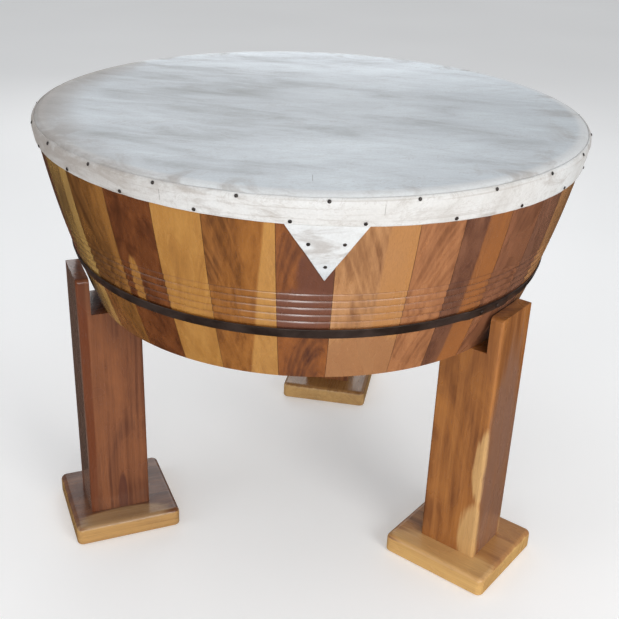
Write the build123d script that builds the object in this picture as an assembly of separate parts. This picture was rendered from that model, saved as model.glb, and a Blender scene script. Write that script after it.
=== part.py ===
"""Large stave drum standing in the notches of three loose timber posts.

The shell is coopered from tapered staves and narrows towards its open foot.  A rawhide
head is turned over the rim and held by a rawhide lapping strip and two staggered rows of
tacks, a flat iron hoop grips the shell below five turned beads, and the shell stands on
the shelves of three posts, each on its own square foot plate.

Millimetres.  The origin is on the floor under the middle of the drum, +Z is up, the rear
post stands near +Y, and azimuths are in degrees from +X towards +Y.
"""

from build123d import *
from math import atan2, cos, degrees, hypot, radians, sin, sqrt
import os

# ---- overall sizes -------------------------------------------------------------------
RIM_RADIUS = 500.0          # widest radius, on the lapping strip just under the shoulder
SHELL_FOOT_RADIUS = 407.0   # outside of the shell where it stands on the posts
SHELL_HEIGHT = 338.0        # floor end of the staves to their bearing edge
SHELF_HEIGHT = 465.0        # floor to the shelf of each post
STAVE_BOW = 8.5             # how far the shell's side bulges past a straight cone

# ---- staves --------------------------------------------------------------------------
STAVE_WALL = 25.0
STAVE_WIDTHS = (11.5, 12.0, 11.0, 10.0, 13.0, 10.5, 14.5, 9.0, 11.0, 9.5, 8.0)  # degrees
STAVE_ROUNDS = 3            # the widths are repeated this many times round the shell
FIRST_SEAM = -145.5         # azimuth of the first seam
EDGE_ROUND = 12.0           # round of the bearing edge, outside
BEARING_LAND = 8.0          # flat of the bearing edge that the head lies on
BEARING_FALL = 7.0          # drop of the inner bevel behind the land

# ---- turned beads and iron hoop ------------------------------------------------------
HOOP_RISE = 87.0            # shell foot to the hoop's lower edge
HOOP_HEIGHT = 17.0
HOOP_THICK = 2.5
HOOP_FIT = 0.35             # hoop to shell
HOOP_END_AZIMUTH = -33.0    # where the hoop's outer end lies on the inner one
HOOP_LAP = 13.0             # degrees of overlap
HOOP_JOGGLE = 1.5           # degrees over which the two layers run together
HOOP_LAP_GAP = 0.1
BEAD_COUNT = 5
BEAD_PITCH = 13.6
BEAD_DEPTH = 2.4
RIVET_RADIUS = 2.5
RIVET_HEAD_RADIUS = 4.5
RIVET_HEAD_HEIGHT = 2.0
RIVET_PLAY = 0.05
RIVET_POSITIONS = (0.3, 0.7)    # along the lap

# ---- rawhide head, lapping strip and tacks -------------------------------------------
SKIN_THICK = 2.0
STRIP_THICK = 2.0
SKIN_FIT = 0.3              # skirt of the head to the shell
STRIP_FIT = 0.3             # strip to the skirt
STRIP_TOP_DROP = 3.5        # top of the drum to the strip's upper edge
STRIP_BUTT_AZIMUTH = 100.5  # where the two ends of the strip meet
STRIP_BUTT_GAP = 1.5
APRON_DEPTH = 43.5          # mean depth of the skirt below the top of the drum
APRON_TILT = 1.2            # the hide's cut edge is lower on one side, degrees
APRON_LOW_AZIMUTH = -10.0   # where it hangs lowest
TONGUE_AZIMUTH = -79.3      # the pointed end of the hide, turned down over the front
TONGUE_WIDTH = 123.0
TONGUE_DROP = 141.0         # top of the drum to the tongue's tip
TACKS_PER_ROW = 24
UPPER_TACK_DROP = 8.5
LOWER_TACK_INSET = 4.6      # lower row, in from the cut edge
TONGUE_CORNER_TACK = 6.2    # lower tacks beside the tongue, degrees from its middle
TONGUE_MID_DROP = 78.5      # the tongue's pair of tacks, below the top of the drum
TONGUE_MID_TACK = 3.1       # degrees from its middle
TONGUE_TIP_TACK_DROP = 117.0
TACK_HEAD_RADIUS = 3.5
TACK_HEAD_HEIGHT = 1.6
TACK_SHANK_RADIUS = 0.8
TACK_POINT = 2.0
TACK_LENGTH = 15.0
TACK_SEAT = 0.05            # under the head
TACK_PLAY = 0.05            # round the shank

# ---- posts and foot plates -----------------------------------------------------------
POST_AZIMUTHS = {"left": -150.0, "right": -30.0, "rear": 87.2}
POST_DEPTH = 115.0          # along the radius
POST_WIDTH = 105.0
POST_ROUND = 6.0
LUG_HEIGHT = 70.0           # shelf to the top of the lug outside the shell
LUG_THICK = 24.0
LUG_ROUND = 8.0
LUG_CLEARANCE = 2.0         # shell to the lug at its top
PLATE_DEPTHS = {"left": 202.0, "right": 212.0, "rear": 202.0}   # along the radius
PLATE_WIDTH = 200.0
PLATE_TOE = 50.0            # plate past the post, on the side under the drum
PLATE_THICK = 37.0
PLATE_CORNER = 12.0
PLATE_TOP_ROUND = 9.0
PLATE_BOTTOM_ROUND = 4.0
SCREW_RADIUS = 2.5
SCREW_HEAD_RADIUS = 5.0
SCREW_LENGTH = 75.0
SCREW_POINT = 8.0
SCREW_SPACING = 60.0
SCREW_PLAY = 0.05
SCREW_SINK = 1.0            # heads below the underside of the plate

# ---- levels and radii that follow ----------------------------------------------------
RIM_Z = SHELF_HEIGHT + SHELL_HEIGHT
TOP_Z = RIM_Z + SKIN_THICK
HOOP_LOW_Z = SHELF_HEIGHT + HOOP_RISE
HOOP_TOP_Z = HOOP_LOW_Z + HOOP_HEIGHT
BEAD_TOP_Z = HOOP_TOP_Z + BEAD_COUNT * BEAD_PITCH
LUG_TOP_Z = SHELF_HEIGHT + LUG_HEIGHT
SKIN_OUT = SKIN_FIT + SKIN_THICK
STRIP_IN = SKIN_OUT + STRIP_FIT
STRIP_OUT = STRIP_IN + STRIP_THICK
FULL_TURN = 360.0
STANDING = (Align.CENTER, Align.CENTER, Align.MIN)      # on the XY plane
HANGING = (Align.CENTER, Align.CENTER, Align.MAX)       # under the XY plane

# The outside of the shell is one arc in the (radius, z) plane, from just under the
# shoulder to the shell's foot.  Every layer on it is the same arc, grown outwards.
UPPER_R = RIM_RADIUS - STRIP_OUT
UPPER_Z = RIM_Z - EDGE_ROUND
CHORD_R = UPPER_R - SHELL_FOOT_RADIUS
CHORD_Z = UPPER_Z - SHELF_HEIGHT
CHORD = hypot(CHORD_R, CHORD_Z)
ARC_RADIUS = CHORD**2 / (8 * STAVE_BOW) + STAVE_BOW / 2
ARC_R = (UPPER_R + SHELL_FOOT_RADIUS) / 2 - (ARC_RADIUS - STAVE_BOW) * CHORD_Z / CHORD
ARC_Z = (UPPER_Z + SHELF_HEIGHT) / 2 + (ARC_RADIUS - STAVE_BOW) * CHORD_R / CHORD


def side_radius(z, offset=0.0):
    """Radius of the shell's outside at height z, grown by offset."""
    return ARC_R + sqrt((ARC_RADIUS + offset) ** 2 - (z - ARC_Z) ** 2)


def side_arc(z_from, z_to, offset):
    """The shell's side between two heights, as an arc in the XZ plane."""
    heights = (z_from, (z_from + z_to) / 2, z_to)
    points = [(side_radius(z, offset), z) for z in heights]
    return ThreePointArc(*[(r, 0, z) for r, z in points])


def shoulder(offset, top_z, round_radius):
    """Middle of the shoulder's round, and the point where it runs into the side."""
    mid_z = top_z - round_radius
    mid_r = side_radius(mid_z, offset - round_radius)
    reach = (ARC_RADIUS + offset) / hypot(mid_r - ARC_R, mid_z - ARC_Z)
    return (mid_r, mid_z), (ARC_R + (mid_r - ARC_R) * reach, ARC_Z + (mid_z - ARC_Z) * reach)


def shoulder_arc(offset, top_z, round_radius):
    """The round from the flat top down to the side, as an arc in the XZ plane."""
    (mid_r, mid_z), (end_r, end_z) = shoulder(offset, top_z, round_radius)
    end_angle = atan2(end_z - mid_z, end_r - mid_r)
    half_angle = (radians(90) + end_angle) / 2
    middle = (mid_r + round_radius * cos(half_angle), mid_z + round_radius * sin(half_angle))
    return ThreePointArc((mid_r, 0, top_z), (middle[0], 0, middle[1]), (end_r, 0, end_z))


def polyline(*points):
    """Straight edges through (radius, z) points in the XZ plane."""
    corners = [(r, 0, z) for r, z in points]
    return [Line(a, b) for a, b in zip(corners, corners[1:])]


def polar(radius, azimuth, z):
    """A point from its radius, azimuth and height."""
    return Vector(radius * cos(radians(azimuth)), radius * sin(radians(azimuth)), z)


def cap(offset, top_z, round_radius, low_z):
    """Solid of revolution with the shell's side and shoulder, grown by offset."""
    (mid_r, _), (_, end_z) = shoulder(offset, top_z, round_radius)
    edges = polyline((0, low_z), (0, top_z), (mid_r, top_z))
    edges.append(shoulder_arc(offset, top_z, round_radius))
    edges.append(side_arc(end_z, low_z, offset))
    edges += polyline((side_radius(low_z, offset), low_z), (0, low_z))
    return revolve(make_face(edges), Axis.Z)


def side_point(z, offset=0.0):
    """The (radius, z) point on the shell's side at height z, grown by offset."""
    return side_radius(z, offset), z


def side_band(offset, thickness, low_z, high_z):
    """Closed outline of a band that lies on the shell's side."""
    edges = [side_arc(low_z, high_z, offset + thickness)]
    edges += polyline(side_point(high_z, offset + thickness), side_point(high_z, offset))
    edges.append(side_arc(high_z, low_z, offset))
    edges += polyline(side_point(low_z, offset), side_point(low_z, offset + thickness))
    return make_face(edges)


def turned(outline, start, width):
    """An outline in the XZ plane turned about Z over a width in degrees."""
    return Rot(0, 0, start) * revolve(outline, Axis.Z, revolution_arc=width)


# ---- tacks ---------------------------------------------------------------------------
def apron_edge(azimuth):
    """Height of the hide's cut edge at an azimuth."""
    fall = sin(radians(APRON_TILT)) * side_radius(TOP_Z - APRON_DEPTH, SKIN_OUT)
    return TOP_Z - APRON_DEPTH - fall * cos(radians(azimuth - APRON_LOW_AZIMUTH))


def round_place(azimuth, z, middle_r, middle_z, radius):
    """Place at height z on a turned arc, with its Z along the outward normal."""
    normal_z = (z - middle_z) / radius
    normal_r = sqrt(1 - normal_z**2)
    origin = polar(middle_r + radius * normal_r, azimuth, z)
    return Plane(origin=origin, z_dir=polar(normal_r, azimuth, normal_z))


def side_place(azimuth, z, offset):
    """Place on the shell's side, grown by offset."""
    return round_place(azimuth, z, ARC_R, ARC_Z, ARC_RADIUS + offset)


def hide_place(azimuth, z, layer):
    """Place on a layer of the hide, on its side or on its shoulder."""
    top_z = TOP_Z + layer - SKIN_OUT
    round_radius = EDGE_ROUND + layer - SKIN_FIT
    (mid_r, mid_z), (_, end_z) = shoulder(layer, top_z, round_radius)
    if z > end_z:
        return round_place(azimuth, z, mid_r, mid_z, round_radius)
    return side_place(azimuth, z, layer)


def upper_tack_sites():
    pitch = FULL_TURN / TACKS_PER_ROW
    return [(TONGUE_AZIMUTH + pitch * i, TOP_Z - UPPER_TACK_DROP, STRIP_OUT) for i in range(TACKS_PER_ROW)]


def lower_tack_sites():
    pitch = FULL_TURN / TACKS_PER_ROW
    turns = [TONGUE_CORNER_TACK]
    turns += [pitch * (i + 0.5) for i in range(1, TACKS_PER_ROW - 1)]
    turns.append(FULL_TURN - TONGUE_CORNER_TACK)
    azimuths = [TONGUE_AZIMUTH + turn for turn in turns]
    return [(azimuth, apron_edge(azimuth) + LOWER_TACK_INSET, STRIP_OUT) for azimuth in azimuths]


def tongue_tack_sites():
    pair_z = TOP_Z - TONGUE_MID_DROP
    pair = [(TONGUE_AZIMUTH + side, pair_z, SKIN_OUT) for side in (-TONGUE_MID_TACK, TONGUE_MID_TACK)]
    return pair + [(TONGUE_AZIMUTH, TOP_Z - TONGUE_TIP_TACK_DROP, SKIN_OUT)]


def tack_blank():
    """Domed tack, its head on the XY plane and its point down -Z."""
    shank_end = TACK_POINT - TACK_LENGTH
    dome_bulge = (TACK_HEAD_RADIUS**2 + TACK_HEAD_HEIGHT**2) / (2 * TACK_HEAD_HEIGHT)
    dome_middle = TACK_SEAT + TACK_HEAD_HEIGHT - dome_bulge
    mid_r = TACK_HEAD_RADIUS / 2
    mid_z = dome_middle + sqrt(dome_bulge**2 - mid_r**2)
    crown = (0, 0, TACK_SEAT + TACK_HEAD_HEIGHT)
    edges = [ThreePointArc(crown, (mid_r, 0, mid_z), (TACK_HEAD_RADIUS, 0, TACK_SEAT))]
    edges += polyline(
        (TACK_HEAD_RADIUS, TACK_SEAT),
        (TACK_SHANK_RADIUS, TACK_SEAT),
        (TACK_SHANK_RADIUS, shank_end),
        (0, -TACK_LENGTH),
        (0, TACK_SEAT + TACK_HEAD_HEIGHT),
    )
    return revolve(make_face(edges), Axis.Z)


def tack_row(sites):
    """The tacks of one row, as separate solids."""
    blank = tack_blank()
    return Compound(children=[hide_place(*site).location * blank for site in sites])


def tack_holes(sites):
    """Straight holes for the shanks, long enough for every layer."""
    hole = Cylinder(TACK_SHANK_RADIUS + TACK_PLAY, 2 * (TACK_LENGTH + TACK_PLAY))
    return [hide_place(*site).location * hole for site in sites]


# ---- shell ---------------------------------------------------------------------------
def stave_outline():
    """Section through a stave: beaded outside, hollow inside, bevelled bearing edge."""
    (mid_r, _), (_, side_z) = shoulder(0, RIM_Z, EDGE_ROUND)
    land_r = mid_r - BEARING_LAND
    bevel_z = RIM_Z - BEARING_FALL
    edges = [shoulder_arc(0, RIM_Z, EDGE_ROUND), side_arc(side_z, BEAD_TOP_Z, 0)]
    edges += polyline(side_point(BEAD_TOP_Z), side_point(BEAD_TOP_Z, -BEAD_DEPTH))
    for i in range(BEAD_COUNT):
        high = BEAD_TOP_Z - i * BEAD_PITCH
        middle = high - BEAD_PITCH / 2
        low = high - BEAD_PITCH
        groove_high = (side_radius(high, -BEAD_DEPTH), 0, high)
        groove_low = (side_radius(low, -BEAD_DEPTH), 0, low)
        edges.append(ThreePointArc(groove_high, (side_radius(middle), 0, middle), groove_low))
    edges += polyline(side_point(HOOP_TOP_Z, -BEAD_DEPTH), side_point(HOOP_TOP_Z))
    edges.append(side_arc(HOOP_TOP_Z, SHELF_HEIGHT, 0))
    edges += polyline((SHELL_FOOT_RADIUS, SHELF_HEIGHT), side_point(SHELF_HEIGHT, -STAVE_WALL))
    edges.append(side_arc(SHELF_HEIGHT, bevel_z, -STAVE_WALL))
    edges += polyline(side_point(bevel_z, -STAVE_WALL), (land_r, RIM_Z), (mid_r, RIM_Z))
    return make_face(edges)


def staves(sites):
    """Every stave of the shell, with the tack holes that fall in it."""
    outline = stave_outline()
    holes = [(site[0], hole) for site, hole in zip(sites, tack_holes(sites))]
    reach = degrees(3 * TACK_SHANK_RADIUS / SHELL_FOOT_RADIUS)
    pieces = []
    start = FIRST_SEAM
    for width in STAVE_WIDTHS * STAVE_ROUNDS:
        stave = turned(outline, start, width)
        for azimuth, hole in holes:
            turn = (azimuth - start - width / 2 + FULL_TURN / 2) % FULL_TURN - FULL_TURN / 2
            if abs(turn) < width / 2 + reach:
                stave -= hole
        pieces.append(stave)
        start += width
    return pieces


# ---- rawhide -------------------------------------------------------------------------
def below_apron(margin):
    """Everything below the hide's cut edge, as one tilted slab."""
    slab = Pos(0, 0, -TOP_Z / 2) * Box(4 * RIM_RADIUS, 4 * RIM_RADIUS, TOP_Z)
    tilted = Rot(0, 0, APRON_LOW_AZIMUTH) * Rot(0, APRON_TILT, 0) * slab
    return Pos(0, 0, TOP_Z - APRON_DEPTH + margin) * tilted


def tongue():
    """Triangle of hide on the shell, from above the cut edge down to its tip."""
    tip_z = TOP_Z - TONGUE_DROP
    root_z = apron_edge(TONGUE_AZIMUTH)
    overlap = 2 * SKIN_THICK
    half_width = TONGUE_WIDTH / 2
    face_plane = Plane(
        origin=polar(RIM_RADIUS, TONGUE_AZIMUTH, 0),
        x_dir=polar(1, TONGUE_AZIMUTH + 90, 0),
        z_dir=polar(1, TONGUE_AZIMUTH, 0),
    )
    outline = Polygon(
        (-half_width, root_z + overlap),
        (-half_width, root_z),
        (0, tip_z),
        (half_width, root_z),
        (half_width, root_z + overlap),
        align=None,
    )
    wedge = extrude(face_plane * outline, amount=RIM_RADIUS / 2, both=True)
    half_turn = degrees(TONGUE_WIDTH / SHELL_FOOT_RADIUS)
    band = side_band(SKIN_FIT, SKIN_THICK, tip_z - overlap, root_z + overlap)
    return turned(band, TONGUE_AZIMUTH - half_turn, 2 * half_turn) & wedge


def drumhead_radius():
    """Where the playing surface passes into the hide's shoulder, over the bearing land."""
    (middle_r, _), _ = shoulder(SKIN_OUT, TOP_Z, EDGE_ROUND + SKIN_THICK)
    return middle_r - BEARING_LAND / 2


def drumhead():
    """The flat of the hide, which is struck."""
    return Pos(0, 0, RIM_Z) * Cylinder(drumhead_radius(), SKIN_THICK, align=STANDING)


def hide_skirt(sites):
    """The hide's shoulder, its skirt turned down over the shell, and the tongue."""
    low_z = BEAD_TOP_Z
    outside = cap(SKIN_OUT, TOP_Z, EDGE_ROUND + SKIN_THICK, low_z)
    inside = cap(SKIN_FIT, RIM_Z, EDGE_ROUND, low_z)
    flat = Pos(0, 0, RIM_Z) * Cylinder(drumhead_radius(), 4 * SKIN_THICK)
    hide = outside - inside - flat - below_apron(0) + tongue()
    for hole in tack_holes(sites):
        hide -= hole
    return hide


def lapping_strip(sites):
    """Strip of hide over the skirt, with its two ends meeting at the back."""
    low_z = BEAD_TOP_Z
    top_in = TOP_Z + STRIP_FIT
    top_out = top_in + STRIP_THICK
    outside = cap(STRIP_OUT, top_out, EDGE_ROUND + SKIN_THICK + STRIP_FIT + STRIP_THICK, low_z)
    inside = cap(STRIP_IN, top_in, EDGE_ROUND + SKIN_THICK + STRIP_FIT, low_z)
    above = Box(4 * RIM_RADIUS, 4 * RIM_RADIUS, RIM_RADIUS, align=STANDING)
    above = Pos(0, 0, TOP_Z - STRIP_TOP_DROP) * above
    butt = Box(RIM_RADIUS / 2, STRIP_BUTT_GAP, SHELL_HEIGHT)
    strip = outside - inside - below_apron(0) - above
    strip -= Rot(0, 0, STRIP_BUTT_AZIMUTH) * Pos(RIM_RADIUS, 0, TOP_Z) * butt
    for hole in tack_holes(sites):
        strip -= hole
    return strip


# ---- hoop ----------------------------------------------------------------------------
def flat_band(offset, thickness):
    """Section of the hoop's flat bar, leaning with the shell's side."""
    levels = (HOOP_LOW_Z, HOOP_TOP_Z)
    inner = [side_point(z, offset) for z in levels]
    outer = [side_point(z, offset + thickness) for z in levels]
    return make_face(polyline(inner[0], outer[0], outer[1], inner[1], inner[0]))


def rivet_places():
    """Axes of the rivets through the hoop's lap, on the inner face of the iron."""
    middle_z = (HOOP_LOW_Z + HOOP_TOP_Z) / 2
    azimuths = [HOOP_END_AZIMUTH - HOOP_LAP * share for share in RIVET_POSITIONS]
    return [side_place(azimuth, middle_z, HOOP_FIT) for azimuth in azimuths]


def iron_hoop():
    """One flat bar bent round the shell, its outer end lapped over its inner end."""
    layer_step = HOOP_THICK + HOOP_LAP_GAP
    inner_layer = flat_band(HOOP_FIT, HOOP_THICK)
    outer_layer = flat_band(HOOP_FIT + layer_step, HOOP_THICK)
    joggle = flat_band(HOOP_FIT, HOOP_THICK + layer_step)
    inner_end = HOOP_END_AZIMUTH - HOOP_LAP
    ring_start = inner_end + HOOP_JOGGLE
    ring = turned(inner_layer, ring_start, FULL_TURN - 2 * HOOP_JOGGLE)
    lap = turned(outer_layer, inner_end - HOOP_JOGGLE, HOOP_LAP + HOOP_JOGGLE)
    for place in rivet_places():
        hole = place.location * Cylinder(RIVET_RADIUS + RIVET_PLAY, 8 * HOOP_THICK)
        ring -= hole
        lap -= hole
    return ring + turned(joggle, inner_end - HOOP_JOGGLE, HOOP_JOGGLE) + lap


def hoop_rivets():
    """Round-headed rivets, flush with the inner face of the iron."""
    grip = 2 * HOOP_THICK + HOOP_LAP_GAP + RIVET_PLAY
    shank = Cylinder(RIVET_RADIUS, grip, align=STANDING)
    dome = (RIVET_HEAD_RADIUS**2 + RIVET_HEAD_HEIGHT**2) / (2 * RIVET_HEAD_HEIGHT)
    ball = Pos(0, 0, grip + RIVET_HEAD_HEIGHT - dome) * Sphere(dome)
    keep = Pos(0, 0, grip) * Cylinder(2 * dome, 2 * dome, align=STANDING)
    rivet = shank + (ball & keep)
    return Compound(children=[place.location * rivet for place in rivet_places()])


# ---- posts and foot plates, built on +X and turned to their azimuth ---------------------
LUG_INNER_R = side_radius(LUG_TOP_Z) + LUG_CLEARANCE
POST_OUTER_R = LUG_INNER_R + LUG_THICK
POST_MIDDLE_R = POST_OUTER_R - POST_DEPTH / 2
SCREW_PATTERN = [(x * SCREW_SPACING / 2, y * SCREW_SPACING / 2) for x in (-1, 1) for y in (-1, 1)]


def screw_blank(play=0.0):
    """Countersunk wood screw standing on its head, grown all round by play."""
    head = SCREW_HEAD_RADIUS + play
    shank = SCREW_RADIUS + play
    cone = head - shank
    edges = polyline(
        (0, -play),
        (head, -play),
        (shank, cone),
        (shank, SCREW_LENGTH - SCREW_POINT + play),
        (0, SCREW_LENGTH + play),
        (0, -play),
    )
    return revolve(make_face(edges), Axis.Z)


def at_screws(shape):
    """Copies of a shape at the four screw places under a post."""
    return [Pos(POST_MIDDLE_R + x, y, SCREW_SINK) * shape for x, y in SCREW_PATTERN]


def leg_post():
    """Square post with a shelf for the shell and a lug standing up outside it."""
    height = LUG_TOP_Z - PLATE_THICK
    plan = extrude(RectangleRounded(POST_DEPTH, POST_WIDTH, POST_ROUND), amount=height)
    face = Pos(0, height / 2) * RectangleRounded(POST_WIDTH, height, LUG_ROUND)
    face += Pos(0, height / 4) * Rectangle(POST_WIDTH, height / 2)
    upright = extrude(Plane.YZ * face, amount=POST_DEPTH, both=True)
    post = Pos(POST_MIDDLE_R, 0, PLATE_THICK) * (plan & upright)
    notch = Box(POST_DEPTH, 2 * POST_WIDTH, 2 * LUG_HEIGHT, align=(Align.MAX, Align.CENTER, Align.MIN))
    post -= Pos(LUG_INNER_R, 0, SHELF_HEIGHT) * notch
    for hole in at_screws(screw_blank(SCREW_PLAY)):
        post -= hole
    return post


def foot_plate(depth):
    """Board with rounded corners and edges under a post, drilled from below."""
    plate = extrude(RectangleRounded(depth, PLATE_WIDTH, PLATE_CORNER), amount=PLATE_THICK)
    plate = fillet(plate.edges().group_by(Axis.Z)[-1], PLATE_TOP_ROUND)
    plate = fillet(plate.edges().group_by(Axis.Z)[0], PLATE_BOTTOM_ROUND)
    plate = Pos(POST_OUTER_R - POST_DEPTH - PLATE_TOE + depth / 2, 0, 0) * plate
    recess = Cylinder(SCREW_HEAD_RADIUS + SCREW_PLAY, SCREW_SINK, align=HANGING)
    for hole in at_screws(screw_blank(SCREW_PLAY)) + at_screws(recess):
        plate -= hole
    return plate


# ---- write every piece ---------------------------------------------------------------
os.makedirs("parts", exist_ok=True)


def write(name, shape):
    export_step(shape, f"parts/{name}.step")


upper_sites = upper_tack_sites()
lower_sites = lower_tack_sites()
tongue_sites = tongue_tack_sites()
strip_sites = upper_sites + lower_sites
all_sites = strip_sites + tongue_sites

for number, stave in enumerate(staves(all_sites), start=1):
    write(f"stave_{number:02d}", stave)

write("drumhead", drumhead())
write("hide_skirt", hide_skirt(all_sites))
write("lapping_strip", lapping_strip(strip_sites))
write("tacks_upper_row", tack_row(upper_sites))
write("tacks_lower_row", tack_row(lower_sites))
write("tacks_tongue", tack_row(tongue_sites))
write("iron_hoop", iron_hoop())
write("hoop_rivets", hoop_rivets())

post_blank = leg_post()
screws_blank = Compound(children=at_screws(screw_blank()))
for side, azimuth in POST_AZIMUTHS.items():
    turn = Rot(0, 0, azimuth)
    write(f"leg_post_{side}", turn * post_blank)
    write(f"foot_plate_{side}", turn * foot_plate(PLATE_DEPTHS[side]))
    write(f"foot_screws_{side}", turn * screws_blank)
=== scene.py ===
"""Looks of a large stave drum on three loose timber posts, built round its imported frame.

Everything is in metres in the frame's axes: the origin is on the floor under the drum,
+Z is up, the rear post stands near +Y, and azimuths are in degrees from +X towards +Y.
"""

import math
import random

import bmesh
import bpy
import numpy as np
from mathutils import Matrix, Vector, noise


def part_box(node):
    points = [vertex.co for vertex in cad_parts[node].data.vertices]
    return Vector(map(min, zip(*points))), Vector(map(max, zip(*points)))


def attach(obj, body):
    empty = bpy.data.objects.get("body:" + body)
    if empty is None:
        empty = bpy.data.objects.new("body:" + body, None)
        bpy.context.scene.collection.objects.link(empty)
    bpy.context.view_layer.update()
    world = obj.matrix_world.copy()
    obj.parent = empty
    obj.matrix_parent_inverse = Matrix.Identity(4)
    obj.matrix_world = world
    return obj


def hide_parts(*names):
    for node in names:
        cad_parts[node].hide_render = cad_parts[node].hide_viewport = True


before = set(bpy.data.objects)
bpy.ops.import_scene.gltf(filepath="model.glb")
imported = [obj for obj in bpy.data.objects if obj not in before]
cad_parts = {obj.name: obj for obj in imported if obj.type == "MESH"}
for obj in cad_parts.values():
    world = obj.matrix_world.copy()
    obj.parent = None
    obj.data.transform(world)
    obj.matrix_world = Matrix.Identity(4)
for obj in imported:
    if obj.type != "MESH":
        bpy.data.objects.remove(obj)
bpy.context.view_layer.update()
MM = 0.001
RANDOM = random.Random(7)


# ---- measures taken from the frame -------------------------------------------------------
def node_points(name):
    """Vertices of a CAD node, one row each."""
    return np.array([vertex.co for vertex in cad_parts[name].data.vertices], float)


def azimuth_of(x, y):
    return math.degrees(math.atan2(y, x))


def post_azimuth(side):
    low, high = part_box(f"leg_post_{side}")
    return azimuth_of(low.x + high.x, low.y + high.y)


POSTS = {side: post_azimuth(side) for side in ("left", "right", "rear")}
PLATE_TOP_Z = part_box("foot_plate_left")[1].z
STAVES = sorted(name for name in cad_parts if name.startswith("stave_"))
SHELL_POINTS = np.concatenate([node_points(name) for name in STAVES])
SHELL_RADII = np.hypot(SHELL_POINTS[:, 0], SHELL_POINTS[:, 1])
STRIP_POINTS = node_points("lapping_strip")
HOOP_POINTS = node_points("iron_hoop")

FOOT_Z = SHELL_POINTS[:, 2].min()
RIM_Z = SHELL_POINTS[:, 2].max()
FOOT_R = SHELL_RADII[SHELL_POINTS[:, 2] < FOOT_Z + MM].max()
RIM_R = np.hypot(STRIP_POINTS[:, 0], STRIP_POINTS[:, 1]).max()
TOP_Z = node_points("drumhead")[:, 2].max()
STRIP_TOP_Z = STRIP_POINTS[:, 2].max()
HOOP_LOW_Z = HOOP_POINTS[:, 2].min()
HOOP_TOP_Z = HOOP_POINTS[:, 2].max()

# ---- sizes of the layers, as in the CAD --------------------------------------------------
BEAD_PITCH = 13.6 * MM      # five beads are cut round the shell over the hoop
BEAD_TOP_Z = HOOP_TOP_Z + 5 * BEAD_PITCH
STAVE_BOW = 8.5 * MM
EDGE_ROUND = 12 * MM
SKIN_THICK = 2 * MM
STRIP_THICK = 2 * MM
LAYER_FIT = 0.3 * MM
HOOP_THICK = 2.5 * MM
HOOP_FIT = 0.35 * MM
HOOP_LAP_GAP = 0.1 * MM
HOOP_END = -33.0            # degrees, where the hoop's outer end lies
HOOP_LAP = 13.0
HOOP_JOGGLE = 1.5
BUTT_AZIMUTH = 100.5        # where the two ends of the lapping strip meet
BUTT_GAP = 1.5 * MM
APRON_DEPTH = 43.5 * MM
APRON_TILT = 1.2
APRON_LOW = -10.0
TONGUE = -79.3              # azimuth of the tongue
TONGUE_WIDTH = 123 * MM
TONGUE_DROP = 141 * MM

SKIN_OUT = LAYER_FIT + SKIN_THICK
STRIP_IN = SKIN_OUT + LAYER_FIT
STRIP_OUT = STRIP_IN + STRIP_THICK

# The shell's side is one arc in the (radius, z) plane, bulging a little past a cone.
SIDE_TOP = (RIM_R - STRIP_OUT, RIM_Z - EDGE_ROUND)
CHORD_R = SIDE_TOP[0] - FOOT_R
CHORD_Z = SIDE_TOP[1] - FOOT_Z
CHORD = math.hypot(CHORD_R, CHORD_Z)
ARC_RADIUS = CHORD**2 / (8 * STAVE_BOW) + STAVE_BOW / 2
ARC_R = (SIDE_TOP[0] + FOOT_R) / 2 - (ARC_RADIUS - STAVE_BOW) * CHORD_Z / CHORD
ARC_Z = (SIDE_TOP[1] + FOOT_Z) / 2 + (ARC_RADIUS - STAVE_BOW) * CHORD_R / CHORD


def side_radius(z, offset=0.0):
    """Radius of the shell's outside at height z, grown by offset."""
    return ARC_R + math.sqrt((ARC_RADIUS + offset) ** 2 - (z - ARC_Z) ** 2)


def side_normal(z, offset=0.0):
    """Outward normal (radial, z) of the shell's side at height z."""
    tall = (z - ARC_Z) / (ARC_RADIUS + offset)
    return math.sqrt(1 - tall * tall), tall


def polar(radius, azimuth, z):
    angle = math.radians(azimuth)
    return Vector((radius * math.cos(angle), radius * math.sin(angle), z))


def apron_edge(azimuth):
    """Height of the hide's cut edge."""
    fall = math.sin(math.radians(APRON_TILT)) * side_radius(TOP_Z - APRON_DEPTH, SKIN_OUT)
    return TOP_Z - APRON_DEPTH - fall * math.cos(math.radians(azimuth - APRON_LOW))


def turn_between(azimuth, other):
    """Signed turn from other to azimuth, within half a turn either way."""
    return (azimuth - other + 180) % 360 - 180


def wander(x, y, z, seed=0.0):
    """Smooth noise between about -1 and 1."""
    return noise.noise(Vector((x + 17.3 * seed, y - 5.1 * seed, z + 9.7 * seed)))


# ---- mesh helpers ------------------------------------------------------------------------
def new_mesh(name, vertices, faces, smooth=True):
    mesh = bpy.data.meshes.new(name)
    mesh.from_pydata([tuple(v) for v in vertices], [], faces)
    mesh.validate()
    sides = bmesh.new()
    sides.from_mesh(mesh)
    bmesh.ops.recalc_face_normals(sides, faces=sides.faces)
    sides.to_mesh(mesh)
    sides.free()
    mesh.update()
    mesh.polygons.foreach_set("use_smooth", [smooth] * len(mesh.polygons))
    piece = bpy.data.objects.new(name, mesh)
    bpy.context.scene.collection.objects.link(piece)
    return piece


def grid_faces(columns, rows, closed_columns, closed_rows):
    """Quads of a grid whose vertices are stored column after column."""
    faces = []
    last_column = columns if closed_columns else columns - 1
    last_row = rows if closed_rows else rows - 1
    for i in range(last_column):
        for j in range(last_row):
            a = i * rows + j
            b = i * rows + (j + 1) % rows
            c = ((i + 1) % columns) * rows + (j + 1) % rows
            d = ((i + 1) % columns) * rows + j
            faces.append((a, b, c, d))
    return faces


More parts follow.
